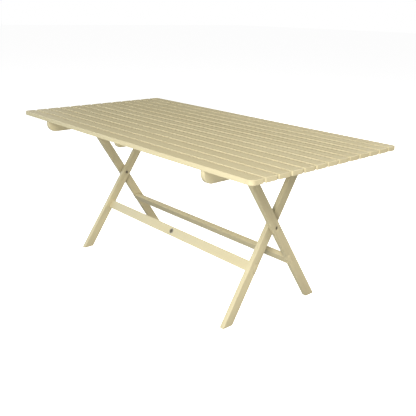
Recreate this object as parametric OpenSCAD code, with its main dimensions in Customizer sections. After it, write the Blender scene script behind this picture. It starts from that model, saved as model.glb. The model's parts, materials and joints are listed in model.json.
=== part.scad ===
// Folding picnic table: a slatted top on battens, carried by two crossed leg frames.
// X runs along the table, Y across it (the front is at -Y) and Z is up.
// The origin lies on the floor, under the middle of the top.

/* [Table] */
// Length of the top
table_l = 1720; // [1500:10:2200]
// Width of the top across all the slats
table_w = 900; // [860:5:1000]
// Height of the top's upper face above the floor
table_h = 730; // [700:5:760]

/* [Top] */
// Thickness of a slat
slat_t = 20; // [18:1:26]
// Gap between two slats
slat_gap = 11; // [6:1:14]
// Radius of the long edges of a slat
arris_r = 2; // [1:0.5:5]
// Radius of the four corners of the top, seen from above
corner_r = 20; // [5:1:40]

/* [Battens] */
// Thickness of the battens under the top
batten_t = 22; // [20:1:28]
// Depth of the two side battens that carry the leg hinges
batten_d = 56; // [50:1:70]
// Radius of the lower corner at each end of a side batten
batten_r = 42; // [10:1:48]
// Distance from the top's long edge to the end of a side batten
batten_inset = 5; // [2:1:30]
// Depth of the centre batten
centre_d = 30; // [26:1:32]
// Radius of the lower corner at each end of the centre batten
centre_r = 24; // [8:1:25]
// Distance from the top's long edge to the end of the centre batten
centre_inset = 22; // [10:1:60]

/* [Legs] */
// Width of a leg, seen from the side of the table
leg_w = 44; // [40:1:46]
// Thickness of a leg, along the table
leg_t = 22.5; // [20:0.5:26]
// Lean of each leg from the vertical, in degrees
leg_angle = 33.3; // [32:0.1:34]
// Height at which the legs cross
cross_h = 380; // [370:1:390]
// Distance over the outer faces of the two outer legs
legs_span = 1178; // [1000:2:1300]
// Space between an outer leg and the inner leg beside it
leg_space = 4.5; // [3:0.5:6]
// Space between a side batten and the outer leg beside it
batten_space = 3; // [2:0.5:5]
// Depth of the leg hinge below the underside of the slats
hinge_drop = 26; // [24:0.5:28]

/* [Rails] */
// Width of the rails that join the legs of a frame
rail_w = 44; // [40:1:50]
// Distance along the leg from the crossing to the middle of the rail
rail_s = 193.5; // [185:0.5:210]
// Depth of the notch in the leg that takes the rail
notch_d = 21; // [18:0.5:21.5]
// How far the rail stands proud of the leg's edge
rail_proud = 1.5; // [0.5:0.5:2]
// Outer diameter of the steel eyelet in the front rail
eyelet_d = 25; // [20:1:30]
// Diameter of the hole through the eyelet
eyelet_hole_d = 15; // [10:1:16]

/* [Hardware] */
// Diameter of the bolts that the legs turn on
bolt_d = 8; // [6:1:10]
// Diameter of the wood screws
screw_d = 4.5; // [4:0.5:5]
// Width of the catch hook
hook_w = 12; // [10:1:14]
// Thickness of the catch hook
hook_t = 3; // [2:0.5:3]

/* [Hidden] */

$fn = 64;
eps = 0.01;

// Paint and metal
cream = "#d9cfa6";
steel = "#8d8f92";
dark_steel = "#55534f";

// The top
slat_count = 13;
under_z = table_h - slat_t;
slat_w = (table_w - (slat_count - 1) * slat_gap) / slat_count;
slat_pitch = slat_w + slat_gap;
zigzag = 12;

// The leg frames
hinge_z = under_z - hinge_drop;
hinge_s = (hinge_z - cross_h) / cos(leg_angle);
hinge_y = -hinge_s * sin(leg_angle);
foot_s = (cross_h + leg_w) / cos(leg_angle);
outer_x = legs_span / 2;
inner_x = outer_x - leg_t - leg_space;
batten_x = outer_x + batten_space;
rail_t = notch_d + rail_proud;

// Fasteners
running_gap = 0.05;
side_play = 0.2;
bolt_hole_r = bolt_d / 2 + running_gap;
head_r = bolt_d * 0.8;
head_h = bolt_d * 0.6;
counterbore_r = head_r + 2;
counterbore_d = head_h + 2;
nut_bore_r = bolt_d * 1.15;
nut_bore_d = 5;
washer_r = bolt_d;
nut_r = bolt_d * 0.9;
nut_h = bolt_d * 0.8;
bolt_tail = 2;
screw_r = screw_d / 2;
screw_head_r = screw_d * 0.95;
screw_head_h = 3;
screw_bore_r = screw_head_r + 0.8;
screw_grip = 12;
side_screw_drop = 26;
centre_screw_drop = 20;
rail_screw_l = 37;
rail_screw_step = 20;

// The catch: its hook turns on a bracket under the slat behind the middle one
hook_pin_r = 3;
hook_drop = 12;
hook_y = slat_pitch;
hook_z = under_z - hook_drop;
hook_x = inner_x - leg_t - 9;
hook_hole_r = hook_pin_r + running_gap;
notch_gap = 0.6;
tip_r = 9;
bracket_t = 2.5;
bracket_l = 30;
bracket_flange = 25;
tab_r = 8;
pin_head_r = 5;
pin_head_h = 2;
catch_s = 290;
catch_y = catch_s * sin(leg_angle);
catch_z = cross_h + catch_s * cos(leg_angle);
catch_pin_l = 12;
hook_l = norm([catch_y - hook_y, catch_z - hook_z]);
bracket_screw_l = 14;
bracket_screw_y = 9;

// Stands a side view (Y across, Z up) on edge and gives it a thickness along X, from x0
module side_view(x0, thickness) {
  translate([x0, 0, 0])
    rotate([90, 0, 90])
      linear_extrude(thickness)
        children();
}

// A round bar along X, from x0, at a place in the side view
module bar_x(x0, length, r, y, z) {
  translate([x0, y, z])
    rotate([0, 90, 0])
      cylinder(h = length, r = r);
}

// Shows its children at the right end of the table, or mirrored at the left end
module at_end(side) {
  mirror([side == "left" ? 1 : 0, 0, 0])
    children();
}

// Countersunk wood screw pointing up, with the middle of its head's face at the origin
module wood_screw(length) {
  cylinder(h = screw_head_h, r1 = screw_head_r, r2 = screw_r);
  cylinder(h = length, r = screw_r);
}

// ---- Top ----

// Middle of a slat across the table, counted from the front
function slat_y(i) = -table_w / 2 + slat_w / 2 + i * slat_pitch;

// Every screw between a slat and a batten stands a little off the slat's middle, by turns
function screw_y(i) = slat_y(i) + (i % 2 == 0 ? zigzag : -zigzag);

// Places of the slat screws: along the table, across it, and depth of the head
function screw_places(i) = [
  [-(batten_x + batten_t / 2), screw_y(i), side_screw_drop],
  [0, screw_y(i), centre_screw_drop],
  [batten_x + batten_t / 2, screw_y(i), side_screw_drop]
];

// Slat section with its four long edges rounded
module slat_section() {
  translate([-slat_w / 2, arris_r])
    square([slat_w, slat_t - 2 * arris_r]);
  translate([-slat_w / 2 + arris_r, 0])
    square([slat_w - 2 * arris_r, slat_t]);
  for (y = [-1, 1], z = [arris_r, slat_t - arris_r])
    translate([y * (slat_w / 2 - arris_r), z])
      circle(arris_r);
}

// Outline of the whole top, seen from above
module top_outline() {
  square([table_l, table_w - 2 * corner_r], center = true);
  square([table_l - 2 * corner_r, table_w], center = true);
  for (x = [-1, 1], y = [-1, 1])
    translate([x * (table_l / 2 - corner_r), y * (table_w / 2 - corner_r)])
      circle(corner_r);
}

module slat(i) {
  at_edge = i == 0 || i == slat_count - 1;
  color(cream)
    difference() {
      intersection() {
        side_view(-table_l / 2, table_l)
          translate([slat_y(i), under_z])
            slat_section();
        if (at_edge)
          translate([0, 0, under_z - 1])
            linear_extrude(slat_t + 2)
              top_outline();
      }
      for (p = screw_places(i))
        translate([p[0], p[1], under_z - eps])
          cylinder(h = screw_grip + eps, r = screw_r);
      if (i == (slat_count + 1) / 2)
        for (side = ["left", "right"])
          bracket_holes(side);
    }
}

// Batten on edge, with the lower corner at each end rounded off
module batten_profile(depth, r, inset) {
  half = table_w / 2 - inset;
  translate([-half, under_z - depth + r])
    square([2 * half, depth - r]);
  translate([-half + r, under_z - depth])
    square([2 * (half - r), r + eps]);
  for (y = [-1, 1])
    intersection() {
      translate([y * (half - r), under_z - depth + r])
        circle(r);
      translate([-half, under_z - depth])
        square([2 * half, depth]);
    }
}

// Shank holes and head bores of the screws that come up through a batten
module batten_screw_holes(which, depth) {
  for (i = [0 : slat_count - 1]) {
    p = screw_places(i)[which];
    head_z = under_z - p[2];
    translate([p[0], p[1], under_z - depth - 1])
      cylinder(h = depth - p[2] + 1, r = screw_bore_r);
    translate([p[0], p[1], head_z])
      wood_screw(p[2] + 1);
  }
}

module side_batten(side) {
  color(cream)
    difference() {
      at_end(side)
        side_view(batten_x, batten_t)
          batten_profile(batten_d, batten_r, batten_inset);
      batten_screw_holes(side == "left" ? 0 : 2, batten_d);
      at_end(side)
        bar_x(batten_x - 1, batten_t + 2, bolt_hole_r, hinge_y, hinge_z);
    }
}

module centre_batten() {
  color(cream)
    difference() {
      side_view(-batten_t / 2, batten_t)
        batten_profile(centre_d, centre_r, centre_inset);
      batten_screw_holes(1, centre_d);
    }
}

module slat_screws() {
  color(steel)
    for (i = [0 : slat_count - 1])
      for (p = screw_places(i))
        translate([p[0], p[1], under_z - p[2]])
          wood_screw(p[2] + screw_grip);
}

// ---- Leg frames ----

// The outer frame leans with its head to the front and the inner frame is its mirror image.
// In a leg's own view, Y runs up the leg from the crossing and -X is the leg's underside.
module in_leg_plane(frame) {
  mirror([frame == "inner" ? 1 : 0, 0])
    translate([0, cross_h])
      rotate(leg_angle)
        children();
}

module leg_profile(frame) {
  difference() {
    intersection() {
      in_leg_plane(frame) {
        translate([-leg_w / 2, -foot_s])
          square([leg_w, foot_s + hinge_s]);
        translate([0, hinge_s])
          circle(leg_w / 2);
      }
      translate([-table_w, 0])
        square([2 * table_w, table_h]);
    }
    in_leg_plane(frame)
      translate([-leg_w / 2 - 1, -rail_s - rail_w / 2])
        square([notch_d + 1, rail_w]);
  }
}

module rail_profile(frame) {
  in_leg_plane(frame)
    translate([-leg_w / 2 - rail_proud, -rail_s - rail_w / 2])
      square([rail_t, rail_w]);
}

// Puts an upright screw into the rail's outer face, over the middle of a leg
module at_rail_screw(frame, x, step) {
  flip = frame == "inner" ? -1 : 1;
  head_n = -leg_w / 2 - rail_proud;
  s = -rail_s + step;
  translate([
    x,
    flip * (head_n * cos(leg_angle) - s * sin(leg_angle)),
    cross_h + head_n * sin(leg_angle) + s * cos(leg_angle)
  ])
    rotate([-flip * (90 - leg_angle), 0, 0])
      children();
}

module rail_screw_set(frame, face_x) {
  for (end = [-1, 1], row = [-1, 1])
    at_rail_screw(frame, end * (face_x - leg_t / 2), row * rail_screw_step / 2)
      wood_screw(rail_screw_l);
}

module outer_leg(side) {
  color(cream)
    difference() {
      at_end(side)
        side_view(outer_x - leg_t, leg_t)
          leg_profile("outer");
      at_end(side) {
        bar_x(outer_x - leg_t - 1, leg_t + 2, bolt_hole_r, 0, cross_h);
        bar_x(outer_x - counterbore_d, counterbore_d + 1, counterbore_r, 0, cross_h);
        bar_x(outer_x - leg_t - 1, leg_t + 2, bolt_hole_r, hinge_y, hinge_z);
      }
      rail_screw_set("outer", outer_x);
    }
}

module inner_leg(side) {
  color(cream)
    difference() {
      at_end(side)
        side_view(inner_x - leg_t, leg_t)
          leg_profile("inner");
      at_end(side) {
        bar_x(inner_x - leg_t - 1, leg_t + 2, bolt_hole_r, 0, cross_h);
        bar_x(inner_x - leg_t - 1, nut_bore_d + 1, nut_bore_r, 0, cross_h);
        bar_x(inner_x - leg_t - 1, catch_pin_l + 1, hook_pin_r, catch_y, catch_z);
      }
      rail_screw_set("inner", inner_x);
    }
}

module rear_rail() {
  color(cream)
    difference() {
      side_view(-outer_x, 2 * outer_x)
        rail_profile("outer");
      rail_screw_set("outer", outer_x);
    }
}

module rear_rail_screws() {
  color(steel)
    rail_screw_set("outer", outer_x);
}

// The eyelet's axis stands square to the wide faces of the front rail
module at_eyelet() {
  at_rail_screw("inner", 0, 0)
    children();
}

module front_rail() {
  color(cream)
    difference() {
      side_view(-inner_x, 2 * inner_x)
        rail_profile("inner");
      rail_screw_set("inner", inner_x);
      at_eyelet()
        translate([0, 0, -1])
          cylinder(h = rail_t + 2, r = eyelet_d / 2);
    }
}

module front_rail_screws() {
  color(steel)
    rail_screw_set("inner", inner_x);
}

module rail_eyelet() {
  color(steel)
    at_eyelet()
      difference() {
        cylinder(h = rail_t + 0.4, r = eyelet_d / 2);
        translate([0, 0, -1])
          cylinder(h = rail_t + 3, r = eyelet_hole_d / 2);
      }
}

// ---- Hinges and pivots ----

module hinge_bolt(side) {
  tail_x = outer_x - leg_t - side_play - nut_h - bolt_tail;
  color(steel)
    at_end(side) {
      bar_x(tail_x, batten_x + batten_t - tail_x, bolt_d / 2, hinge_y, hinge_z);
      bar_x(batten_x + batten_t, head_h, head_r * 1.3, hinge_y, hinge_z);
    }
}

module hinge_spacer(side) {
  color(steel)
    at_end(side)
      difference() {
        bar_x(outer_x + side_play, batten_space - side_play, washer_r, hinge_y, hinge_z);
        bar_x(outer_x, batten_space + 1, bolt_d / 2, hinge_y, hinge_z);
      }
}

// Six-sided nut with a plain bore, its outer end at x0
module nut(x0, y, z) {
  difference() {
    translate([x0, y, z])
      rotate([0, 90, 0])
        cylinder(h = nut_h, r = nut_r, $fn = 6);
    bar_x(x0 - 1, nut_h + 2, bolt_d / 2, y, z);
  }
}

module hinge_nut(side) {
  color(steel)
    at_end(side)
      nut(outer_x - leg_t - side_play - nut_h, hinge_y, hinge_z);
}

module pivot_bolt(side) {
  tail_x = inner_x - leg_t + nut_bore_d - side_play - nut_h - bolt_tail;
  head_x = outer_x - counterbore_d;
  color(dark_steel)
    at_end(side) {
      bar_x(tail_x, head_x - tail_x, bolt_d / 2, 0, cross_h);
      bar_x(head_x, head_h, head_r, 0, cross_h);
    }
}

module pivot_spacer(side) {
  color(steel)
    at_end(side)
      difference() {
        bar_x(inner_x + side_play, leg_space - side_play, washer_r, 0, cross_h);
        bar_x(inner_x, leg_space + 1, bolt_d / 2, 0, cross_h);
      }
}

module pivot_nut(side) {
  color(dark_steel)
    at_end(side)
      nut(inner_x - leg_t + nut_bore_d - side_play - nut_h, 0, cross_h);
}

// ---- Catch ----

// Plain steel dowel in the inner leg, which the hook drops onto
module catch_pin(side) {
  tip_x = hook_x - 2;
  color(steel)
    at_end(side)
      bar_x(tip_x, inner_x - leg_t + catch_pin_l - tip_x, hook_pin_r, catch_y, catch_z);
}

module bracket_holes(side) {
  at_end(side)
    for (y = [-1, 1])
      translate([
        hook_x - bracket_flange / 2 - bracket_t,
        hook_y + y * bracket_screw_y,
        under_z - bracket_t
      ])
        wood_screw(bracket_screw_l);
}

// Angle under the slat: a screwed flange and a hanging tab that holds the hook's pin
module hook_bracket(side) {
  tab_x = hook_x - 1 - bracket_t;
  color(steel)
    difference() {
      at_end(side) {
        translate([tab_x - bracket_flange + bracket_t, hook_y - bracket_l / 2, under_z - bracket_t])
          cube([bracket_flange, bracket_l, bracket_t]);
        translate([tab_x, hook_y - tab_r, hook_z])
          cube([bracket_t, 2 * tab_r, hook_drop]);
        bar_x(tab_x, bracket_t, tab_r, hook_y, hook_z);
      }
      at_end(side)
        bar_x(tab_x - 1, bracket_t + 2, hook_pin_r, hook_y, hook_z);
      bracket_holes(side);
    }
}

module bracket_screws() {
  color(steel)
    for (side = ["left", "right"])
      bracket_holes(side);
}

module hook_pin(side) {
  tab_x = hook_x - 1 - bracket_t;
  end_x = hook_x + hook_t + 0.4;
  color(steel)
    at_end(side) {
      bar_x(tab_x - pin_head_h, end_x - tab_x + pin_head_h, hook_pin_r, hook_y, hook_z);
      bar_x(tab_x - pin_head_h, pin_head_h, pin_head_r, hook_y, hook_z);
      bar_x(end_x, pin_head_h, pin_head_r, hook_y, hook_z);
    }
}

// Flat hook, stowed level under the slats; its notch opens downward
module catch_hook(side) {
  color(steel)
    at_end(side)
      side_view(hook_x, hook_t)
        translate([hook_y, hook_z])
          difference() {
            union() {
              translate([0, -hook_w / 2])
                square([hook_l, hook_w]);
              circle(hook_w / 2);
              translate([hook_l, 0])
                circle(tip_r);
            }
            circle(hook_hole_r);
            translate([hook_l, 0])
              circle(hook_pin_r + notch_gap);
            translate([hook_l - hook_pin_r - notch_gap, -tip_r - 1])
              square([2 * (hook_pin_r + notch_gap), tip_r + 1]);
          }
}

slat(0);  // slat_01
slat(1);  // slat_02
slat(2);  // slat_03
slat(3);  // slat_04
slat(4);  // slat_05
slat(5);  // slat_06
slat(6);  // slat_07
slat(7);  // slat_08
slat(8);  // slat_09
slat(9);  // slat_10
slat(10);  // slat_11
slat(11);  // slat_12
slat(12);  // slat_13
side_batten("left");  // side_batten_left
side_batten("right");  // side_batten_right
centre_batten();
slat_screws();
hinge_bolt("left");  // hinge_bolt_left
hinge_bolt("right");  // hinge_bolt_right
hinge_spacer("left");  // hinge_spacer_left
hinge_spacer("right");  // hinge_spacer_right
hinge_nut("left");  // hinge_nut_left
hinge_nut("right");  // hinge_nut_right
outer_leg("left");  // outer_leg_left
outer_leg("right");  // outer_leg_right
rear_rail();
rear_rail_screws();
pivot_bolt("left");  // pivot_bolt_left
pivot_bolt("right");  // pivot_bolt_right
pivot_spacer("left");  // pivot_spacer_left
pivot_spacer("right");  // pivot_spacer_right
pivot_nut("left");  // pivot_nut_left
pivot_nut("right");  // pivot_nut_right
inner_leg("left");  // inner_leg_left
inner_leg("right");  // inner_leg_right
front_rail();
front_rail_screws();
rail_eyelet();
catch_pin("left");  // catch_pin_left
catch_pin("right");  // catch_pin_right
hook_bracket("left");  // hook_bracket_left
hook_bracket("right");  // hook_bracket_right
bracket_screws();
hook_pin("left");  // hook_pin_left
hook_pin("right");  // hook_pin_right
catch_hook("left");  // catch_hook_left
catch_hook("right");  // catch_hook_right
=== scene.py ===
# %% [markdown]
# # A folding picnic table in painted wood
#
# The table has thirteen slats on three battens. Two frames of crossed legs carry it,
# turn on steel bolts and fold flat under the top. The CAD model gives the outlines,
# the places and the joints. This lesson gives each piece its finished shape and its
# paint or plating.

# %% Load the CAD frame
import json
import math
import random

import bmesh
import bpy
from mathutils import Euler, Matrix, Vector


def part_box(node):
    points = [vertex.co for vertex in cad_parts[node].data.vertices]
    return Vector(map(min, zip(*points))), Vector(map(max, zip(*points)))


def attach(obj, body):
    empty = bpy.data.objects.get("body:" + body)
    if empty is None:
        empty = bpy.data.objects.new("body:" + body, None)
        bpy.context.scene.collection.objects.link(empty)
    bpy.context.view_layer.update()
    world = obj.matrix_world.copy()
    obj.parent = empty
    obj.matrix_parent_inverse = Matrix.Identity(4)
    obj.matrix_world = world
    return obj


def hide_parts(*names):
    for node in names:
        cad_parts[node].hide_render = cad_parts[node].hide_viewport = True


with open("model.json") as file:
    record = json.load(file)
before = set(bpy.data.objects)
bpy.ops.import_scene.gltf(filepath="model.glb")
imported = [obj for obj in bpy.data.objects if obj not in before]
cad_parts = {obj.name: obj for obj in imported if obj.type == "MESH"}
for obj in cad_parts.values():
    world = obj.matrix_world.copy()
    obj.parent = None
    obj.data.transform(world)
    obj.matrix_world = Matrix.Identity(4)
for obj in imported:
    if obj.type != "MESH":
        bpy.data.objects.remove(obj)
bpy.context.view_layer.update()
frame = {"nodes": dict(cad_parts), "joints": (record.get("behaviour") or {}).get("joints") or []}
MM = 0.001

# %% [markdown]
# ## Camera
#
# The table is seen from its front right corner, from a little above the top, with a
# normal lens. The camera stays nearly level and its view is shifted down instead, as
# an architect's camera does, so that the upright lines of the legs don't lean.

# %% Place the camera
CAMERA_PLACE = (2.1978, -1.8593, 1.2865)
CAMERA_TURN = 0.8377
CAMERA_DOWN = 0.1678
CAMERA_ROLL = 0.0225

lens = bpy.data.cameras.new("camera")
lens.sensor_width = 36.0
lens.lens = 51.86
lens.shift_y = -0.2292
camera = bpy.data.objects.new("camera", lens)
camera.location = CAMERA_PLACE
aim = Euler((math.pi / 2 - CAMERA_DOWN, 0.0, CAMERA_TURN)).to_matrix()
camera.rotation_euler = (aim @ Matrix.Rotation(CAMERA_ROLL, 3, "Z")).to_euler()
bpy.context.collection.objects.link(camera)
bpy.context.scene.camera = camera
print("camera at", [round(v, 2) for v in camera.location], "lens", lens.lens)

# %% [markdown]
# ## Node helpers
#
# Materials and Geometry Nodes are both trees of nodes. A few short helpers keep the
# trees readable: one adds a node with its settings and links, one does sums, one
# mixes colours, and one starts a group with named sockets.

# %% Helpers for node trees
def add(tree, kind, inputs=None, **settings):
    """Adds a node, and sets or links its inputs by name or by place."""
    made = tree.nodes.new(kind)
    for name, value in settings.items():
        setattr(made, name, value)
    for key, value in (inputs or {}).items():
        if isinstance(value, bpy.types.NodeSocket):
            tree.links.new(value, made.inputs[key])
        else:
            made.inputs[key].default_value = value
    return made


def sums(tree, operation, *values):
    """The result of a Math node."""
    return add(tree, "ShaderNodeMath", dict(enumerate(values)), operation=operation).outputs[0]


def vectors(tree, operation, *values):
    """The result of a Vector Math node: its number for a length or dot product."""
    made = add(tree, "ShaderNodeVectorMath", dict(enumerate(values)), operation=operation)
    return made.outputs["Value" if operation in ("LENGTH", "DOT_PRODUCT") else "Vector"]


def remap(tree, value, low, high, to_low=0.0, to_high=1.0):
    """The value moved from one range to another, and kept inside it."""
    inputs = {0: value, 1: low, 2: high, 3: to_low, 4: to_high}
    return add(tree, "ShaderNodeMapRange", inputs).outputs[0]


def mix_colour(tree, factor, first, second):
    """Two colours mixed by a factor."""
    inputs = {0: factor, 6: first, 7: second}
    return add(tree, "ShaderNodeMix", inputs, data_type="RGBA").outputs[2]


def new_group(name, kind, inputs, outputs):
    """A node group with named sockets, its inputs and its output node."""
    tree = bpy.data.node_groups.new(name, kind)
    for title, (socket, value) in inputs.items():
        made = tree.interface.new_socket(title, in_out="INPUT", socket_type=socket)
        if value is not None:
            made.default_value = value
    for title, socket in outputs.items():
        tree.interface.new_socket(title, in_out="OUTPUT", socket_type=socket)
    return tree, add(tree, "NodeGroupInput").outputs, add(tree, "NodeGroupOutput")


def use_group(tree, group, inputs):
    """Places a group in a material, with this material's own values."""
    return add(tree, "ShaderNodeGroup", inputs, node_tree=group)


VALUE, VECTOR, COUNT = "NodeSocketFloat", "NodeSocketVector", "NodeSocketInt"
GEOMETRY, MATERIAL = "NodeSocketGeometry", "NodeSocketMaterial"
print("helpers ready")

# %% [markdown]
# ## Grain under paint
#
# The boards are pine under satin paint. Paint hides the wood's colour but not its
# relief: growth rings and fibres still lift the surface a few hundredths of a
# millimetre. A flat picture of wood would stretch over the ends, so the rings are
# worked out in space. They are cylinders round the heart of the tree, which runs
# along the board, and a slow noise makes them wander. On a board's face this gives
# long streaks, and on its end it gives arcs.

# %% Wood grain group
grain_group, given, result = new_group(
    "Wood grain", "ShaderNodeTree",
    {"Board Space": (VECTOR, None), "Ring Spacing": (VALUE, 0.0045), "Wander": (VALUE, 0.012)},
    {"Rings": VALUE, "Fibres": VALUE},
)
slow = vectors(grain_group, "MULTIPLY", given["Board Space"], (1.1, 7.0, 7.0))
drift = add(grain_group, "ShaderNodeTexNoise", {"Vector": slow, "Scale": 1.0, "Detail": 2.0})
drift = vectors(grain_group, "SUBTRACT", drift.outputs["Color"], (0.5, 0.5, 0.5))
drift = add(grain_group, "ShaderNodeVectorMath", {
    0: drift, "Scale": given["Wander"]}, operation="SCALE")
bent = vectors(grain_group, "ADD", given["Board Space"], drift.outputs["Vector"])
across = vectors(grain_group, "MULTIPLY", bent, (0.0, 1.0, 1.0))
turns = sums(grain_group, "DIVIDE", vectors(grain_group, "LENGTH", across), given["Ring Spacing"])
wave = sums(grain_group, "SINE", sums(grain_group, "MULTIPLY", turns, 2 * math.pi))
ring_height = sums(grain_group, "POWER", remap(grain_group, wave, -1.0, 1.0), 2.5)
thin = vectors(grain_group, "MULTIPLY", given["Board Space"], (9.0, 420.0, 420.0))
fibre = add(grain_group, "ShaderNodeTexNoise", {"Vector": thin, "Scale": 1.0, "Detail": 3.0})
fibres = remap(grain_group, fibre.outputs["Fac"], 0.3, 0.7)
grain_group.links.new(ring_height, result.inputs["Rings"])
grain_group.links.new(fibres, result.inputs["Fibres"])
print("grain group:", len(grain_group.nodes), "nodes")

# %% [markdown]
# ## Edges and painted crevice shade
#
# Two effects belong to every finish here. Paint and plating are thinnest on an edge,
# and hands polish it, so a mask marks the places where the surface turns quickly.
# A second mask marks places that see little of the sky, in corners and under the top. It paints shade
# there as a brown darkening, and it also makes the surface duller. Each is a group, built once and used
# in every finish.

# %% Edge group
edge_group, given, result = new_group(
    "Worn edges", "ShaderNodeTree",
    {"Edge Width": (VALUE, 0.002), "Breakup": (VALUE, 60.0)},
    {"Edge": VALUE},
)
rounded = add(edge_group, "ShaderNodeBevel", {"Radius": given["Edge Width"]}, samples=4)
surface = add(edge_group, "ShaderNodeNewGeometry")
facing = vectors(edge_group, "DOT_PRODUCT", rounded.outputs[0], surface.outputs["Normal"])
turned = remap(edge_group, facing, 0.995, 0.80)
place = add(edge_group, "ShaderNodeTexCoord")
patches = add(edge_group, "ShaderNodeTexNoise", {
    "Vector": place.outputs["Object"], "Scale": given["Breakup"], "Detail": 4.0})
broken = remap(edge_group, patches.outputs["Fac"], 0.35, 0.65, 0.35, 1.0)
edge_group.links.new(sums(edge_group, "MULTIPLY", turned, broken), result.inputs["Edge"])
print("edge group:", len(edge_group.nodes), "nodes")

# %% Painted crevice shade group
shade_and_dust_group, given, result = new_group(
    "Crevice shade and dust", "ShaderNodeTree",
    {"Reach": (VALUE, 0.03), "Patchiness": (VALUE, 9.0)},
    {"Shade And Dust": VALUE},
)
# Painted shade: ambient occlusion marks corners and creases that see little of the sky, and a slow noise
# breaks the mask up.
open_sky = add(shade_and_dust_group, "ShaderNodeAmbientOcclusion", {"Distance": given["Reach"]}, samples=4)
closed_in = remap(shade_and_dust_group, open_sky.outputs["AO"], 0.85, 0.25)
place = add(shade_and_dust_group, "ShaderNodeTexCoord")
clouds = add(shade_and_dust_group, "ShaderNodeTexNoise", {
    "Vector": place.outputs["Object"], "Scale": given["Patchiness"], "Detail": 5.0})
cloudy = remap(shade_and_dust_group, clouds.outputs["Fac"], 0.3, 0.7, 0.55, 1.0)
shade_and_dust_group.links.new(sums(shade_and_dust_group, "MULTIPLY", closed_in, cloudy), result.inputs["Shade And Dust"])
print("dust group:", len(shade_and_dust_group.nodes), "nodes")

# %% [markdown]
# ## Cream paint
#
# The whole table is sprayed in one warm cream. Sprayed satin paint has three kinds of
# detail: a very fine orange peel, the wood's relief below it, and slow changes from
# board to board. The paint reads two attributes of each piece. `board_space` is the
# place of a point in its own board, with X along the grain, so a leaning leg has its
# grain along the leg. `board` is one number per board, for its own shade.

# %% Paint material
CREAM = (0.592, 0.524, 0.331, 1.0)
CREAM_DEEP = (0.548, 0.478, 0.292, 1.0)
CREAM_EDGE = (0.700, 0.645, 0.455, 1.0)
# The brown that the paint takes where shade is painted into corners and under the top.
PAINTED_SHADE_BROWN = (0.330, 0.285, 0.200, 1.0)
RING_SHADE = 0.30
FIBRE_SHADE = 0.22
BOARD_SHADE = 0.45
EDGE_LIGHT = 0.45
# How much of the painted shade brown the paint takes at most.
PAINTED_SHADE_SHARE = 0.08
SATIN_LOW = 0.30
SATIN_HIGH = 0.40
DUST_DULLS = 0.2


def new_material(name):
    """An empty material, its tree and its Principled shader."""
    made = bpy.data.materials.new(name)
    made.use_nodes = True
    tree = made.node_tree
    return made, tree, tree.nodes["Principled BSDF"]


paint, tree, shader = new_material("cream_paint")
space = add(tree, "ShaderNodeAttribute", attribute_name="board_space").outputs["Vector"]
board = add(tree, "ShaderNodeAttribute", attribute_name="board").outputs["Fac"]
grain = use_group(tree, grain_group, {
    "Board Space": space, "Ring Spacing": 4.5 * MM, "Wander": 12 * MM})
edges = use_group(tree, edge_group, {"Edge Width": 2.2 * MM, "Breakup": 70.0})
# The crevice mask paints shade into the colour, and it also makes the satin duller.
shade_and_dust = use_group(tree, shade_and_dust_group, {"Reach": 25 * MM, "Patchiness": 9.0})

ring_shade = sums(tree, "MULTIPLY", grain.outputs["Rings"], RING_SHADE)
fibre_shade = sums(tree, "MULTIPLY", grain.outputs["Fibres"], FIBRE_SHADE)
board_shade = sums(tree, "MULTIPLY", board, BOARD_SHADE)
deeper = sums(tree, "ADD", sums(tree, "ADD", ring_shade, fibre_shade), board_shade)
colour = mix_colour(tree, deeper, CREAM, CREAM_DEEP)
thin_paint = sums(tree, "MULTIPLY", edges.outputs["Edge"], EDGE_LIGHT)
colour = mix_colour(tree, thin_paint, colour, CREAM_EDGE)
# Painted shade: the crevice mask darkens the cream towards a brown in corners and under the top.
painted_shade = sums(tree, "MULTIPLY", shade_and_dust.outputs["Shade And Dust"], PAINTED_SHADE_SHARE)
colour = mix_colour(tree, painted_shade, colour, PAINTED_SHADE_BROWN)
tree.links.new(colour, shader.inputs["Base Color"])

peel = add(tree, "ShaderNodeTexNoise", {"Vector": space, "Scale": 900.0, "Detail": 2.0})
ring_relief = sums(tree, "MULTIPLY", grain.outputs["Rings"], 0.5)
relief = sums(tree, "ADD", ring_relief, grain.outputs["Fibres"])
relief = sums(tree, "ADD", relief, sums(tree, "MULTIPLY", peel.outputs["Fac"], 0.5))
bump = add(tree, "ShaderNodeBump", {"Strength": 0.35, "Distance": 0.12 * MM, "Height": relief})
tree.links.new(bump.outputs[0], shader.inputs["Normal"])
satin = remap(tree, grain.outputs["Fibres"], 0.0, 1.0, SATIN_LOW, SATIN_HIGH)
satin = sums(tree, "ADD", satin, sums(tree, "MULTIPLY", shade_and_dust.outputs["Shade And Dust"], DUST_DULLS))
tree.links.new(satin, shader.inputs["Roughness"])
shader.inputs["Specular IOR Level"].default_value = 0.45
print("paint:", len(tree.nodes), "nodes")

# %% [markdown]
# ## Plated and dark steel
#
# The bolts, pins and brackets are steel. Zinc plating is a bright metal with a faint
# crystal pattern and many fine scratches. The pivot bolts in the legs are darker and
# brown, and the eyelet in the front rail is the dullest. One function builds all
# three finishes, because only their numbers differ.

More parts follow.
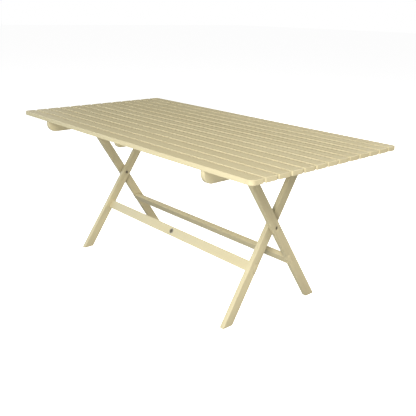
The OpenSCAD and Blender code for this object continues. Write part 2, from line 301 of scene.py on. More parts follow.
# %% Steel materials
def steel_material(name, bright, dim, worn, smooth, rough, bare=1.0):
    """Steel with a crystal pattern, fine scratches, bright edges, and painted shade that darkens its
    corners and makes them duller.

    The colours are those of bright and dim crystals and of worn edges. The roughness
    runs from smooth to rough, and bare is how metallic a clean place is.
    """
    made, tree, shader = new_material(name)
    place = add(tree, "ShaderNodeTexCoord").outputs["Object"]
    crystals = add(tree, "ShaderNodeTexVoronoi", {"Vector": place, "Scale": 420.0})
    shade = remap(tree, crystals.outputs["Color"], 0.0, 1.0)
    stretched = vectors(tree, "MULTIPLY", place, (260.0, 2600.0, 1500.0))
    scratch = add(tree, "ShaderNodeTexNoise", {"Vector": stretched, "Scale": 1.0, "Detail": 3.0})
    marks = remap(tree, scratch.outputs["Fac"], 0.35, 0.65)
    edges = use_group(tree, edge_group, {"Edge Width": 0.6 * MM, "Breakup": 300.0})
    shade_and_dust = use_group(tree, shade_and_dust_group, {"Reach": 6 * MM, "Patchiness": 40.0})
    colour = mix_colour(tree, shade, bright, dim)
    colour = mix_colour(tree, edges.outputs["Edge"], colour, worn)
    # Painted shade: corners darken towards the same brown as on the paint.
    colour = mix_colour(tree, sums(tree, "MULTIPLY", shade_and_dust.outputs["Shade And Dust"], 0.6), colour, PAINTED_SHADE_BROWN)
    tree.links.new(colour, shader.inputs["Base Color"])
    scratched = remap(tree, marks, 0.0, 1.0, smooth, rough)
    dulled = sums(tree, "MULTIPLY", shade_and_dust.outputs["Shade And Dust"], 0.25)
    tree.links.new(sums(tree, "ADD", scratched, dulled), shader.inputs["Roughness"])
    metal = remap(tree, shade_and_dust.outputs["Shade And Dust"], 0.0, 1.0, bare, 0.4 * bare)
    tree.links.new(metal, shader.inputs["Metallic"])
    bump = add(tree, "ShaderNodeBump", {"Strength": 0.3, "Distance": 0.04 * MM, "Height": marks})
    tree.links.new(bump.outputs[0], shader.inputs["Normal"])
    return made


zinc = steel_material(
    "zinc_plate", bright=(0.56, 0.57, 0.58, 1.0), dim=(0.45, 0.46, 0.47, 1.0),
    worn=(0.74, 0.74, 0.73, 1.0), smooth=0.28, rough=0.42)
dark = steel_material(
    "dark_steel", bright=(0.26, 0.23, 0.17, 1.0), dim=(0.18, 0.16, 0.12, 1.0),
    worn=(0.40, 0.37, 0.32, 1.0), smooth=0.38, rough=0.55, bare=0.7)
dull = steel_material(
    "dull_steel", bright=(0.34, 0.31, 0.24, 1.0), dim=(0.26, 0.24, 0.19, 1.0),
    worn=(0.46, 0.44, 0.38, 1.0), smooth=0.50, rough=0.65, bare=0.35)
print("steel:", zinc.name, dark.name, "and", dull.name)

# %% [markdown]
# ## From tree or modifier to plain mesh
#
# Geometry Nodes and the Bevel modifier leave a mesh that is worked out on the fly.
# Each piece is turned into a plain mesh before it joins the frame. Then its boards
# get their two attributes: the grain's own coordinates and a shade for each board.
# The shade number also moves the grain, so that no two boards show the same rings.

# %% Finishing helpers
HEART_DEPTH = 0.05
SHIFT_ALONG = 17.0
SHIFT_ACROSS = 0.31
SHIFT_THROUGH = 0.11


def plain(source, name):
    """The evaluated mesh of an object as a new plain object; the source is removed."""
    seen = bpy.context.evaluated_depsgraph_get()
    bpy.context.view_layer.update()
    mesh = bpy.data.meshes.new_from_object(source.evaluated_get(seen))
    mesh.name = name
    made = bpy.data.objects.new(name, mesh)
    bpy.context.collection.objects.link(made)
    bpy.data.objects.remove(source)
    return made


def round_edges(source, width, segments):
    """Adds a Bevel that rounds each edge by its own weight."""
    router = source.modifiers.new("rounded edges", "BEVEL")
    router.limit_method = "WEIGHT"
    router.width = width
    router.segments = segments
    router.use_clamp_overlap = False
    router.harden_normals = True


def with_tree(name, mesh, tree, values):
    """A new object with a Geometry Nodes tree on its mesh, and the tree's given inputs."""
    source = bpy.data.objects.new(name + "_source", mesh)
    bpy.context.collection.objects.link(source)
    modifier = source.modifiers.new("tree", "NODES")
    modifier.node_group = tree
    for item in tree.interface.items_tree:
        if item.in_out == "INPUT" and item.name in values:
            modifier[item.identifier] = values[item.name]
    return source


def lay_grain(piece, along, across, seed):
    """Writes board_space, with X along the grain, and a shade for the whole piece."""
    mesh = piece.data
    along, across = Vector(along).normalized(), Vector(across).normalized()
    through = along.cross(across)
    if "board" not in mesh.attributes:
        own = random.Random(seed).random()
        shades = mesh.attributes.new("board", "FLOAT", "POINT").data
        shades.foreach_set("value", [own] * len(mesh.vertices))
    boards = [item.value for item in mesh.attributes["board"].data]
    space = mesh.attributes.new("board_space", "FLOAT_VECTOR", "POINT")
    for vertex, own, item in zip(mesh.vertices, boards, space.data):
        item.vector = (
            vertex.co.dot(along) + SHIFT_ALONG * own,
            vertex.co.dot(across) + SHIFT_ACROSS * own,
            vertex.co.dot(through) + HEART_DEPTH + SHIFT_THROUGH * own,
        )


def finish(piece, body, slot, *nodes):
    """Puts a piece on its body and lets it stand for its CAD nodes."""
    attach(piece, body)
    if nodes:
        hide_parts(*nodes)
    print(f"{piece.name}: {len(piece.data.polygons)} faces on {body}")
    return piece


# %% [markdown]
# ## Slats
#
# Thirteen equal boards lie side by side with equal gaps, so a rule can make them all:
# a line of points, a rectangle on each, filled and pulled up to its thickness. The
# first and last boards carry the top's rounded corners, so the rectangle's corners
# are rounded only where they lie on the top's own edge. Every long edge is rounded
# by a router and the sawn ends are only eased, which the Bevel modifier reads from
# an edge weight that the tree writes.

# %% Slat tree
CORNER_STEPS = 12
SHARP_TURN = 0.6

slat_tree, given, result = new_group(
    "Slatted top", "GeometryNodeTree",
    {
        "Slat Count": (COUNT, 13), "Length": (VALUE, 1.7), "Slat Width": (VALUE, 0.06),
        "Gap": (VALUE, 0.01), "Thickness": (VALUE, 0.02), "Underside": (VALUE, 0.7),
        "Corner Radius": (VALUE, 0.02), "End Ease": (VALUE, 0.8), "Seed": (COUNT, 4),
        "Material": (MATERIAL, None),
    },
    {"Geometry": GEOMETRY},
)
t = slat_tree
pitch = sums(t, "ADD", given["Slat Width"], given["Gap"])
steps = sums(t, "SUBTRACT", given["Slat Count"], 1.0)
first = sums(t, "MULTIPLY", sums(t, "MULTIPLY", pitch, steps), -0.5)
start = add(t, "ShaderNodeCombineXYZ", {1: first}).outputs[0]
step = add(t, "ShaderNodeCombineXYZ", {1: pitch}).outputs[0]
line = add(t, "GeometryNodeMeshLine", {
    "Count": given["Slat Count"], "Start Location": start, "Offset": step}, mode="OFFSET")
outline = add(t, "GeometryNodeCurvePrimitiveQuadrilateral", {
    "Width": given["Length"], "Height": given["Slat Width"]})
laid = add(t, "GeometryNodeInstanceOnPoints", {
    "Points": line.outputs[0], "Instance": outline.outputs[0]})
laid = add(t, "GeometryNodeRealizeInstances", {0: laid.outputs[0]})
where = add(t, "ShaderNodeSeparateXYZ", {0: add(t, "GeometryNodeInputPosition").outputs[0]})
reach = sums(t, "ABSOLUTE", where.outputs["Y"])
last_line = sums(t, "MULTIPLY", first, -1.0)
outer_quarter = sums(t, "ADD", last_line, sums(t, "MULTIPLY", given["Slat Width"], 0.25))
top_corner = sums(t, "GREATER_THAN", reach, outer_quarter)
radius = sums(t, "MULTIPLY", top_corner, given["Corner Radius"])
rounded = add(t, "GeometryNodeFilletCurve", {
    "Curve": laid.outputs[0], "Radius": radius, "Count": CORNER_STEPS}, mode="POLY")
filled = add(t, "GeometryNodeFillCurve", {"Curve": rounded.outputs[0]}, mode="NGONS").outputs[0]
up = add(t, "ShaderNodeCombineXYZ", {2: given["Thickness"]}).outputs[0]
raised = add(t, "GeometryNodeExtrudeMesh", {
    "Mesh": filled, "Offset": up, "Offset Scale": 1.0, "Individual": False})
under = add(t, "GeometryNodeFlipFaces", {0: filled}).outputs[0]
both = add(t, "GeometryNodeJoinGeometry")
t.links.new(raised.outputs[0], both.inputs[0])
t.links.new(under, both.inputs[0])
closed = add(t, "GeometryNodeMergeByDistance", {
    "Geometry": both.outputs[0], "Distance": 0.1 * MM}).outputs[0]
ends = add(t, "GeometryNodeInputMeshEdgeVertices")
run = vectors(t, "SUBTRACT", ends.outputs["Position 1"], ends.outputs["Position 2"])
run = vectors(t, "NORMALIZE", run)
run = add(t, "ShaderNodeSeparateXYZ", {0: vectors(t, "ABSOLUTE", run)})
lengthwise = remap(t, run.outputs["X"], 0.0, 1.0, given["End Ease"], 1.0)
turn = add(t, "GeometryNodeInputMeshEdgeAngle").outputs["Unsigned Angle"]
sharp = sums(t, "GREATER_THAN", turn, SHARP_TURN)
weight = sums(t, "MULTIPLY", lengthwise, sharp)
weighted = add(t, "GeometryNodeStoreNamedAttribute", {
    "Geometry": closed, "Name": "bevel_weight_edge", "Value": weight},
    data_type="FLOAT", domain="EDGE").outputs[0]
island = add(t, "GeometryNodeInputMeshIsland").outputs["Island Index"]
shade = add(t, "FunctionNodeRandomValue", {
    "ID": island, "Seed": given["Seed"]}, data_type="FLOAT").outputs[1]
shaded = add(t, "GeometryNodeStoreNamedAttribute", {
    "Geometry": weighted, "Name": "board", "Value": shade},
    data_type="FLOAT", domain="POINT").outputs[0]
height = add(t, "ShaderNodeCombineXYZ", {2: given["Underside"]}).outputs[0]
lifted = add(t, "GeometryNodeTransform", {"Geometry": shaded, "Translation": height}).outputs[0]
smooth = add(t, "GeometryNodeSetShadeSmooth", {"Geometry": lifted}).outputs[0]
coated = add(t, "GeometryNodeSetMaterial", {"Geometry": smooth, "Material": given["Material"]}).outputs[0]
t.links.new(coated, result.inputs["Geometry"])
print("slat tree:", len(t.nodes), "nodes")

# %% Make the slats
TOP_CORNER = 20 * MM
SLAT_ROUND = 2 * MM
SLAT_SEED = 4

low_1, high_1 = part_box("slat_01")
low_2, high_2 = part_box("slat_02")
slat_width = high_2.y - low_2.y
slat_names = [name for name in frame["nodes"] if name.startswith("slat_") and name[5:].isdigit()]
slats = with_tree("slats", bpy.data.meshes.new("slats"), slat_tree, {
    "Slat Count": len(slat_names), "Length": high_1.x - low_1.x, "Slat Width": slat_width,
    "Gap": low_2.y - low_1.y - slat_width, "Thickness": high_1.z - low_1.z, "Underside": low_1.z,
    "Corner Radius": TOP_CORNER, "End Ease": 0.8, "Seed": SLAT_SEED, "Material": paint,
})
round_edges(slats, SLAT_ROUND, 4)
slats = plain(slats, "slats")
lay_grain(slats, (1, 0, 0), (0, 1, 0), SLAT_SEED)
finish(slats, "tabletop", "painted_wood", *sorted(slat_names))

# %% [markdown]
# ## Battens, legs and rails
#
# These boards differ from each other, and the CAD solids already have their outlines,
# their notches and their holes. What they lack is the maker's last step: sanding the
# sharp edges round. So each is a copy of its CAD mesh, joined up, with its flat faces
# made whole, and a Bevel that gives long edges a wide round and the rims of drilled
# holes only a trace. A rim is told from an edge by the small radius of its wall.

# %% Sanded copies of CAD solids
WELD = 0.002 * MM
FLAT_TURN = 0.004
EDGE_TURN = 0.5
FACET_TURN = (0.02, 0.45)
FLAT_WALL = 1.0
RIM_SHARE = 0.2


def wall_radius(edge):
    """The radius of the curved wall beside an edge, or a large number if both sides are flat."""
    found = FLAT_WALL
    for face in edge.link_faces:
        for other in face.edges:
            if other is edge or len(other.link_faces) != 2:
                continue
            turn = other.calc_face_angle(0.0)
            if FACET_TURN[0] < turn < FACET_TURN[1] and set(edge.verts) & set(other.verts):
                found = min(found, edge.calc_length() / turn)
    return found


def sanded(node, name, width, small, material, segments=3):
    """A copy of a CAD node with its edges rounded; walls under the small radius get only a trace."""
    mesh = bpy.data.meshes.new(name)
    work = bmesh.new()
    work.from_mesh(frame["nodes"][node].data)
    bmesh.ops.remove_doubles(work, verts=work.verts, dist=WELD)
    bmesh.ops.dissolve_limit(work, angle_limit=FLAT_TURN, verts=work.verts, edges=work.edges)
    bmesh.ops.recalc_face_normals(work, faces=work.faces)
    weights = work.edges.layers.float.new("bevel_weight_edge")
    for edge in work.edges:
        if edge.calc_face_angle(0.0) > EDGE_TURN:
            edge[weights] = RIM_SHARE if wall_radius(edge) < small else 1.0
    work.to_mesh(mesh)
    work.free()
    mesh.shade_smooth()
    mesh.materials.append(material)
    source = bpy.data.objects.new(name + "_source", mesh)
    bpy.context.collection.objects.link(source)
    round_edges(source, width, segments)
    return plain(source, name)


# %% Battens
BATTEN_ROUND = 2 * MM
BATTEN_RIM = 8 * MM
BATTEN_SEED = 20
BATTENS = {
    "side_batten_left": "batten_side_left",
    "side_batten_right": "batten_side_right",
    "centre_batten": "batten_centre",
}
for number, (node, name) in enumerate(BATTENS.items()):
    piece = sanded(node, name, BATTEN_ROUND, BATTEN_RIM, paint)
    lay_grain(piece, (0, 1, 0), (0, 0, 1), BATTEN_SEED + number)
    finish(piece, "tabletop", "painted_wood", node)

# %% Legs and rails
FRAME_ROUND = 1.6 * MM
LEG_RIM = 10 * MM
LEG_SEED = 40
RAIL_RIM = 14 * MM
RAIL_SEED = 60
places = {joint["child"]: Vector(joint["pos_m"]) for joint in frame["joints"]}
outer_lean = (places["outer_frame"] - places["inner_frame"]).normalized()
inner_lean = Vector((0.0, -outer_lean.y, outer_lean.z))
LEGS = {
    "outer_leg_left": ("leg_outer_left", "outer_frame", outer_lean),
    "outer_leg_right": ("leg_outer_right", "outer_frame", outer_lean),
    "inner_leg_left": ("leg_inner_left", "inner_frame", inner_lean),
    "inner_leg_right": ("leg_inner_right", "inner_frame", inner_lean),
}
for number, (node, (name, body, lean)) in enumerate(LEGS.items()):
    piece = sanded(node, name, FRAME_ROUND, LEG_RIM, paint)
    lay_grain(piece, lean, (1, 0, 0), LEG_SEED + number)
    finish(piece, body, "painted_wood", node)
RAILS = {
    "rear_rail": ("rail_rear", "outer_frame", outer_lean),
    "front_rail": ("rail_front", "inner_frame", inner_lean),
}
for number, (node, (name, body, lean)) in enumerate(RAILS.items()):
    piece = sanded(node, name, FRAME_ROUND, RAIL_RIM, paint)
    lay_grain(piece, (1, 0, 0), lean, RAIL_SEED + number)
    finish(piece, body, "painted_wood", node)

# %% [markdown]
# ## Turned steel
#
# Bolts, nuts, washers, pins and the eyelet are all turned or pressed round one axis.
# A stack of rings describes any of them: each ring has its place on the axis, its
# radius, and whether it is round or a hexagon. Rings with a hole close on themselves,
# and solid ones end in a cap. This gives real chamfers and sockets with few faces,
# where a plain cylinder would look like a peg.

# %% Ring stacks
ROUND, HEXAGON = 0, 6
CREASE = math.radians(35)


def ring_stack(name, rings, origin, axis, material, segments=48, hollow=False):
    """Faces through rings of (distance along the axis, radius, ROUND or HEXAGON)."""
    turn = Vector(axis).normalized().to_track_quat("Z", "Y").to_matrix()
    work = bmesh.new()
    rows = []
    for distance, radius, sides in rings:
        row = []
        for k in range(segments):
            angle = 2 * math.pi * k / segments
            reach = radius
            if sides:
                side = 2 * math.pi / sides
                reach *= math.cos(side / 2) / math.cos(angle % side - side / 2)
            point = Vector((reach * math.cos(angle), reach * math.sin(angle), distance))
            row.append(work.verts.new(Vector(origin) + turn @ point))
        rows.append(row)
    if hollow:
        rows.append(rows[0])
    for row, following in zip(rows, rows[1:]):
        for k in range(segments):
            beside = (k + 1) % segments
            work.faces.new((row[k], row[beside], following[beside], following[k]))
    if not hollow:
        work.faces.new(rows[0][::-1])
        work.faces.new(rows[-1])
    bmesh.ops.recalc_face_normals(work, faces=work.faces)
    mesh = bpy.data.meshes.new(name)
    work.to_mesh(mesh)
    work.free()
    mesh.materials.append(material)
    mesh.shade_smooth()
    mesh.set_sharp_from_angle(angle=CREASE)
    piece = bpy.data.objects.new(name, mesh)
    bpy.context.collection.objects.link(piece)
    return piece


def turned(kind, side, name, body, slot, material, rings, segments=48, hollow=False):
    """A turned piece for a CAD node along X; its rings start at the outer end."""
    node = f"{kind}_{side}"
    low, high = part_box(node)
    outward = -1.0 if side == "left" else 1.0
    middle = (low + high) / 2
    end = Vector((max(low.x * outward, high.x * outward) * outward, middle.y, middle.z))
    stack = rings(high.x - low.x, (high.z - low.z) / 2)
    piece = ring_stack(f"{name}_{side}", stack, end, (-outward, 0, 0), material, segments, hollow)
    finish(piece, body, slot, node)


# %% [markdown]
# ### Hinge bolts and pivot bolts
#
# The legs hang on two bolts through the side battens. Their smooth domed heads are
# what you feel at the ends of the table, and a lock nut holds each from inside. The
# legs cross on two more bolts. Those have socket heads sunk in the outer legs, so
# that nothing catches when the frames close.

# %% Bolts, nuts and washers
BOLT = 4 * MM
BOLT_EASE = 0.8 * MM
HEAD_HEIGHT = 4.8 * MM
DOME_ANGLES = (0.25, 0.5, 0.75, 1.0, 1.25, 1.45)
SOCKET = 2.9 * MM
WASHER_EASE = 0.4 * MM


def shank(length):
    """The plain part of a bolt behind its head, with an eased end."""
    return [
        (HEAD_HEIGHT, BOLT, ROUND), (length - BOLT_EASE, BOLT, ROUND),
        (length, BOLT - BOLT_EASE, ROUND),
    ]


def domed_bolt(length, radius):
    """A smooth domed head, then the shank."""
    dome = [(HEAD_HEIGHT * (1 - math.cos(a)), radius * math.sin(a), ROUND) for a in DOME_ANGLES]
    return dome + [(HEAD_HEIGHT, radius, ROUND)] + shank(length)


def socket_bolt(length, radius):
    """A flat round head with a hexagon sunk in it, then the shank."""
    socket = [
        (2.8 * MM, 0.4 * MM, HEXAGON), (2.6 * MM, SOCKET, HEXAGON), (0.3 * MM, SOCKET, HEXAGON),
        (0.0, SOCKET + 0.35 * MM, ROUND),
    ]
    head = [
        (0.0, radius - 0.7 * MM, ROUND), (0.25 * MM, radius - 0.2 * MM, ROUND),
        (0.7 * MM, radius, ROUND), (HEAD_HEIGHT, radius, ROUND),
    ]
    return socket + head + shank(length)


def lock_nut(length, across):
    """A hexagon with a round collar at its inner end."""
    flat = across * math.cos(math.pi / HEXAGON)
    return [
        (0.0, BOLT, ROUND), (0.0, flat * 0.97, ROUND), (0.7 * MM, across, HEXAGON),
        (length - 2.2 * MM, across, HEXAGON), (length - 1.6 * MM, flat * 0.97, ROUND),
        (length - 0.5 * MM, flat * 0.90, ROUND), (length, flat * 0.80, ROUND),
        (length, BOLT, ROUND),
    ]


def washer(length, radius):
    """A plain washer with eased rims."""
    return [
        (0.0, BOLT, ROUND), (0.0, radius - WASHER_EASE, ROUND), (WASHER_EASE, radius, ROUND),
        (length - WASHER_EASE, radius, ROUND), (length, radius - WASHER_EASE, ROUND),
        (length, BOLT, ROUND),
    ]


for side in ("left", "right"):
    turned("hinge_bolt", side, "bolt_hinge", "tabletop", "zinc_steel", zinc, domed_bolt)
    turned("pivot_bolt", side, "bolt_pivot", "outer_frame", "dark_steel", dark, socket_bolt)
    for kind, body, slot, material in (
        ("hinge", "tabletop", "zinc_steel", zinc), ("pivot", "outer_frame", "dark_steel", dark),
    ):
        turned(f"{kind}_nut", side, f"nut_{kind}", body, slot, material, lock_nut, hollow=True)
        turned(f"{kind}_spacer", side, f"washer_{kind}", body, "zinc_steel", zinc, washer, hollow=True)

# %% [markdown]
# ### The catch
#
# A flat hook at each end turns on a riveted pin under the top. It is stowed level
# under the slats, and it swings down over a dowel in the inner leg to keep the frames
# open. The hook and its bracket are pressed from strip, so their edges are broken by
# a third of a millimetre.

# %% Catch hooks, brackets, pins and dowels
STRIP_ROUND = 0.35 * MM
RIVET_HEAD = 2 * MM
RIVET_STEM = 3 * MM


def rivet(length, radius):
    """A stem between two low domed heads."""
    near = [
        (0.0, radius - 1.6 * MM, ROUND), (0.35 * MM, radius - 0.6 * MM, ROUND),
        (1.0 * MM, radius, ROUND), (RIVET_HEAD, radius, ROUND), (RIVET_HEAD, RIVET_STEM, ROUND),
    ]
    return near + [(length - place, reach, sides) for place, reach, sides in reversed(near)]


def dowel(length, radius):
    """A plain pin with eased ends."""
    return [
        (0.0, radius - 0.5 * MM, ROUND), (0.5 * MM, radius, ROUND),
        (length - 0.8 * MM, radius, ROUND), (length, radius - 0.8 * MM, ROUND),
    ]


for side in ("left", "right"):
    turned("hook_pin", side, "rivet", "tabletop", "zinc_steel", zinc, rivet, 32)
    turned("catch_pin", side, "dowel", "inner_frame", "zinc_steel", zinc, dowel, 32)
    hook = sanded(f"catch_hook_{side}", f"hook_{side}", STRIP_ROUND, 0.0, zinc, segments=2)
    finish(hook, f"catch_hook_{side}", "zinc_steel", f"catch_hook_{side}")
    bracket = sanded(f"hook_bracket_{side}", f"bracket_{side}", STRIP_ROUND, 0.0, zinc, segments=2)
    finish(bracket, "tabletop", "zinc_steel", f"hook_bracket_{side}")

# %% [markdown]
# ### The eyelet
#
# A steel eyelet lines a hole in the middle of the front rail, for a strap or a hook.
# It is a tube whose two ends are rolled to half rounds, the front one a little
# deeper. Its axis leans with the frame, so it comes from the joints' places.

# %% Eyelet
EYELET_RADIUS = 12.5 * MM
EYELET_BORE = 7.5 * MM
EYELET_HALF = 11.45 * MM
FRONT_ROLL = 0.9 * MM
BACK_ROLL = 0.5 * MM


def half_turn(steps):
    """The angles of half a turn in equal steps."""
    return [math.pi * k / steps for k in range(steps + 1)]


low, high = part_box("rail_eyelet")
facing = Vector((0.0, -outer_lean.z, -outer_lean.y)).normalized()
wall = (EYELET_RADIUS - EYELET_BORE) / 2
centre = EYELET_BORE + wall
front = [
    (EYELET_HALF - FRONT_ROLL + FRONT_ROLL * math.sin(a), centre - wall * math.cos(a), ROUND)
    for a in half_turn(10)
]
back = [
    (-EYELET_HALF + BACK_ROLL - BACK_ROLL * math.sin(a), centre + wall * math.cos(a), ROUND)
    for a in half_turn(6)
]
eyelet = ring_stack("eyelet", front + back, (low + high) / 2, facing, dull, hollow=True)
finish(eyelet, "inner_frame", "zinc_steel", "rail_eyelet")

# %% [markdown]
# ## Wood screws
#
# Fifty-one screws hold the table together, all of one pattern in a few lengths. One
# tree makes a screw, with a cut cross in its head and a real thread, and puts one on
# every point of a set. The CAD solids say where the heads are and which way they
# point. Nobody turns every screw to the same angle, so a seeded number spins each.

# %% Screw tree
FULL_TURN = 2 * math.pi

screw_tree, given, result = new_group(
    "Wood screws", "GeometryNodeTree",
    {
        "Points": (GEOMETRY, None), "Head Radius": (VALUE, 0.0043), "Head Depth": (VALUE, 0.003),
        "Shank Radius": (VALUE, 0.0022), "Length": (VALUE, 0.038), "Thread Pitch": (VALUE, 0.0018),
        "Seed": (COUNT, 7), "Material": (MATERIAL, None),
    },
    {"Geometry": GEOMETRY},
)
t = screw_tree
core = sums(t, "MULTIPLY", given["Shank Radius"], 0.72)
head = add(t, "GeometryNodeMeshCone", {
    "Vertices": 24, "Side Segments": 1, "Radius Top": core, "Radius Bottom": given["Head Radius"],
    "Depth": given["Head Depth"]}, fill_type="NGON").outputs["Mesh"]
arm = sums(t, "MULTIPLY", given["Head Radius"], 1.15)
slim = sums(t, "MULTIPLY", given["Head Radius"], 0.22)
deep = sums(t, "MULTIPLY", given["Head Depth"], 1.1)
bars = add(t, "GeometryNodeJoinGeometry")
for size in ((arm, slim), (slim, arm)):
    block = add(t, "ShaderNodeCombineXYZ", {0: size[0], 1: size[1], 2: deep}).outputs[0]
    t.links.new(add(t, "GeometryNodeMeshCube", {"Size": block}).outputs[0], bars.inputs[0])
cut = add(t, "GeometryNodeMeshBoolean", operation="DIFFERENCE", solver="EXACT")
t.links.new(head, cut.inputs[0])
t.links.new(bars.outputs[0], cut.inputs[1])
stem_length = sums(t, "SUBTRACT", given["Length"], given["Head Depth"])
stem = add(t, "GeometryNodeMeshCylinder", {
    "Vertices": 12, "Side Segments": 1, "Radius": core, "Depth": sums(t, "MULTIPLY", stem_length, 0.9)},
    fill_type="NGON").outputs["Mesh"]
lift = add(t, "ShaderNodeCombineXYZ", {
    2: sums(t, "ADD", given["Head Depth"], sums(t, "MULTIPLY", stem_length, 0.45))}).outputs[0]
stem = add(t, "GeometryNodeTransform", {"Geometry": stem, "Translation": lift}).outputs[0]
tip_depth = sums(t, "MULTIPLY", stem_length, 0.1)
tip = add(t, "GeometryNodeMeshCone", {
    "Vertices": 12, "Side Segments": 1, "Radius Top": 0.0001, "Radius Bottom": core, "Depth": tip_depth},
    fill_type="NGON").outputs["Mesh"]
lift = add(t, "ShaderNodeCombineXYZ", {2: sums(t, "SUBTRACT", given["Length"], tip_depth)}).outputs[0]
tip = add(t, "GeometryNodeTransform", {"Geometry": tip, "Translation": lift}).outputs[0]
threaded = sums(t, "MULTIPLY", stem_length, 0.6)
spiral = add(t, "GeometryNodeCurveSpiral", {
    "Resolution": 8, "Rotations": sums(t, "DIVIDE", threaded, given["Thread Pitch"]),
    "Start Radius": core, "End Radius": core, "Height": threaded}).outputs[0]
blade = add(t, "GeometryNodeCurvePrimitiveCircle", {
    "Resolution": 3, "Radius": sums(t, "SUBTRACT", given["Shank Radius"], core)}).outputs[0]
thread = add(t, "GeometryNodeCurveToMesh", {
    "Curve": spiral, "Profile Curve": blade, "Fill Caps": True}).outputs[0]
lift = add(t, "ShaderNodeCombineXYZ", {
    2: sums(t, "SUBTRACT", given["Length"], sums(t, "ADD", threaded, tip_depth))}).outputs[0]
thread = add(t, "GeometryNodeTransform", {"Geometry": thread, "Translation": lift}).outputs[0]
body = add(t, "GeometryNodeJoinGeometry")
for shape in (stem, tip, thread):
    t.links.new(shape, body.inputs[0])
points = add(t, "GeometryNodeMeshToPoints", {"Mesh": given["Points"]}).outputs[0]
direction = add(t, "GeometryNodeInputNamedAttribute", {
    "Name": "direction"}, data_type="FLOAT_VECTOR").outputs[0]
stretch = add(t, "GeometryNodeInputNamedAttribute", {
    "Name": "stretch"}, data_type="FLOAT").outputs[0]
upright = add(t, "FunctionNodeAlignRotationToVector", {"Vector": direction}, axis="Z").outputs[0]
spin = add(t, "FunctionNodeRandomValue", {
    2: 0.0, 3: FULL_TURN, "Seed": given["Seed"]}, data_type="FLOAT").outputs[1]
spin = add(t, "FunctionNodeAxisAngleToRotation", {"Axis": (0.0, 0.0, 1.0), "Angle": spin}).outputs[0]
turned = add(t, "FunctionNodeRotateRotation", {0: upright, 1: spin}, rotation_space="LOCAL").outputs[0]
long = add(t, "ShaderNodeCombineXYZ", {0: 1.0, 1: 1.0, 2: stretch}).outputs[0]
heads = add(t, "GeometryNodeInstanceOnPoints", {
    "Points": points, "Instance": cut.outputs[0], "Rotation": turned}).outputs[0]
bodies = add(t, "GeometryNodeInstanceOnPoints", {
    "Points": points, "Instance": body.outputs[0], "Rotation": turned, "Scale": long}).outputs[0]
every = add(t, "GeometryNodeJoinGeometry")
for shape in (heads, bodies):
    t.links.new(shape, every.inputs[0])
real = add(t, "GeometryNodeRealizeInstances", {0: every.outputs[0]}).outputs[0]
coated = add(t, "GeometryNodeSetMaterial", {"Geometry": real, "Material": given["Material"]}).outputs[0]
t.links.new(coated, result.inputs["Geometry"])
print("screw tree:", len(t.nodes), "nodes")

# %% Screws on the heads of a CAD node
SCREW_HEAD = 4.275 * MM
SCREW_HEAD_DEPTH = 3 * MM
SCREW_SHANK = 2.25 * MM
SCREW_PITCH = 1.8 * MM
HEAD_FACE = 0.05 * MM


def solids(node):
    """The separate solids of a CAD node, each as a list of its points."""
    work = bmesh.new()
    work.from_mesh(frame["nodes"][node].data)
    bmesh.ops.remove_doubles(work, verts=work.verts, dist=WELD)
    seen = set()
    found = []
    for start in work.verts:
        if start in seen:
            continue
        seen.add(start)
        stack = [start]
        group = []
        while stack:
            vertex = stack.pop()
            group.append(vertex.co.copy())
            for edge in vertex.link_edges:
                other = edge.other_vert(vertex)
                if other not in seen:
                    seen.add(other)
                    stack.append(other)
        found.append(group)
    work.free()
    return sorted(found, key=lambda points: tuple(round(v, 4) for v in points[0]))


def screws(node, name, body, axis, length):
    """Screws on every head of a CAD node; axis points from the head into the wood."""
    axis = Vector(axis).normalized()
    heads, longs = [], []
    for points in solids(node):
        lowest = min(p.dot(axis) for p in points)
        face = [p for p in points if p.dot(axis) < lowest + HEAD_FACE]
        heads.append(sum(face, Vector()) / len(face))
        longs.append(max(p.dot(axis) for p in points) - lowest)
    mesh = bpy.data.meshes.new(name)
    mesh.from_pydata(heads, [], [])
    directions = mesh.attributes.new("direction", "FLOAT_VECTOR", "POINT").data
    directions.foreach_set("vector", list(axis) * len(heads))
    stretches = mesh.attributes.new("stretch", "FLOAT", "POINT").data
    stretches.foreach_set("value", [own / length for own in longs])
    source = with_tree(name, mesh, screw_tree, {
        "Head Radius": SCREW_HEAD, "Head Depth": SCREW_HEAD_DEPTH, "Shank Radius": SCREW_SHANK,
        "Length": length, "Thread Pitch": SCREW_PITCH, "Seed": len(heads), "Material": zinc})
    piece = plain(source, name)
    piece.data.shade_smooth()
    piece.data.set_sharp_from_angle(angle=CREASE)
    print(f"{name}: {len(heads)} screws, {min(longs) / MM:.0f} to {max(longs) / MM:.0f} mm long")
    return finish(piece, body, "zinc_steel", node)


outer_up = Vector((0.0, outer_lean.z, -outer_lean.y)).normalized()
inner_up = Vector((0.0, -outer_lean.z, -outer_lean.y)).normalized()
screws("slat_screws", "screws_slats", "tabletop", (0, 0, 1), 38 * MM)
screws("bracket_screws", "screws_bracket", "tabletop", (0, 0, 1), 14 * MM)
screws("rear_rail_screws", "screws_rear_rail", "outer_frame", outer_up, 37 * MM)
screws("front_rail_screws", "screws_front_rail", "inner_frame", inner_up, 37 * MM)

# %% [markdown]
# ## Floor and light
#
# The table stands in a bright, even studio. Two small lamps at the front right are the
# main light. Soft boxes in front, at the left and overhead fill in, and three more
# behind keep the back of the table from going dark. The small lamps and the rear fill
# aren't mirrored in the paint, where they would show as hard spots. The floor is pale
# paper. The camera sees the floor and the sky as white, but the table gets much less
# light from them, so the undersides stay deep.

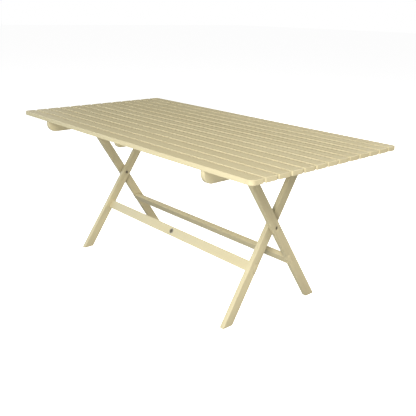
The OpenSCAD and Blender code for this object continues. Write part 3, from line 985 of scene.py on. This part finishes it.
# %% Floor
FLOOR_HALF = 40.0
FLOOR_DROP = 0.5 * MM
FLOOR_GLOW = 0.95
FLOOR_BOUNCE = (0.35, 0.35, 0.34, 1.0)
floor_mesh = bpy.data.meshes.new("floor")
signs = ((-1, -1), (1, -1), (1, 1), (-1, 1))
corners = [(x * FLOOR_HALF, y * FLOOR_HALF, -FLOOR_DROP) for x, y in signs]
floor_mesh.from_pydata(corners, [], [(0, 1, 2, 3)])
floor = bpy.data.objects.new("floor", floor_mesh)
bpy.context.collection.objects.link(floor)
paper, tree, shader = new_material("paper_floor")
place = add(tree, "ShaderNodeTexCoord").outputs["Object"]
fibre = add(tree, "ShaderNodeTexNoise", {"Vector": place, "Scale": 3.0, "Detail": 4.0})
white = mix_colour(tree, fibre.outputs["Fac"], (0.80, 0.80, 0.80, 1), (0.84, 0.84, 0.84, 1))
tree.links.new(white, shader.inputs["Base Color"])
shader.inputs["Roughness"].default_value = 0.9
shader.inputs["Specular IOR Level"].default_value = 0.1
shader.inputs["Emission Color"].default_value = (1.0, 1.0, 1.0, 1.0)
shader.inputs["Emission Strength"].default_value = FLOOR_GLOW
bounce = add(tree, "ShaderNodeBsdfDiffuse", {"Color": FLOOR_BOUNCE})
seen_by = add(tree, "ShaderNodeLightPath").outputs["Is Camera Ray"]
both = add(tree, "ShaderNodeMixShader", {0: seen_by, 1: bounce.outputs[0], 2: shader.outputs[0]})
tree.links.new(both.outputs[0], tree.nodes["Material Output"].inputs["Surface"])
floor_mesh.materials.append(paper)
print("floor:", 2 * FLOOR_HALF, "m across")

# %% Lights
SKY = 0.03
BOX_DISTANCE = 4.5
BOX_SIZE = 2.2
BOX_CENTRE = 0.4
AIM = Vector((0.0, 0.0, 0.45))
WHITE = (1.0, 1.0, 1.0)
world = bpy.data.worlds.new("studio")
bpy.context.scene.world = world
world.use_nodes = True
tree = world.node_tree
backdrop = tree.nodes["Background"]
backdrop.inputs["Color"].default_value = (1.0, 1.0, 1.0, 1.0)
seen_by = add(tree, "ShaderNodeLightPath").outputs["Is Camera Ray"]
tree.links.new(remap(tree, seen_by, 0.0, 1.0, SKY, 1.0), backdrop.inputs["Strength"])


def soft_box(name, bearing, height, power, colour=WHITE, size=BOX_SIZE, mirrored=True):
    """A square lamp aimed at the table; the bearing runs from the front to the right.

    Bearing and height are in degrees, and power is in watts.
    """
    turn, rise = math.radians(bearing), math.radians(height)
    flat = BOX_DISTANCE * math.cos(rise)
    above = BOX_DISTANCE * math.sin(rise) + BOX_CENTRE
    place = Vector((flat * math.sin(turn), -flat * math.cos(turn), above))
    lamp = bpy.data.lights.new(name, "AREA")
    lamp.size = size
    lamp.energy = power
    lamp.color = colour
    made = bpy.data.objects.new(name, lamp)
    made.location = place
    made.visible_glossy = mirrored
    made.rotation_euler = (AIM - place).to_track_quat("-Z", "Y").to_euler()
    bpy.context.collection.objects.link(made)
    print(name, power, "W at", [round(v, 2) for v in place])


soft_box("key_low", 38, 13, 132, size=1.0, mirrored=False)
soft_box("key_high", 40, 36, 110, size=1.4, mirrored=False)
soft_box("front_high", 0, 35, 30)
soft_box("front_low", 0, 12, 10, (0.6, 0.8, 1.0))
soft_box("left_low", -55, 14, 33, (0.80, 0.92, 1.0))
soft_box("left_high", -95, 30, 15)
soft_box("rear_high", 180, 35, 42)
soft_box("rear_fill", 205, 15, 90, mirrored=False)
soft_box("rear_right", 135, 30, 92, (1.0, 0.93, 0.82))
soft_box("overhead", 0, 90, 25)
bpy.context.scene.view_settings.view_transform = "Standard"
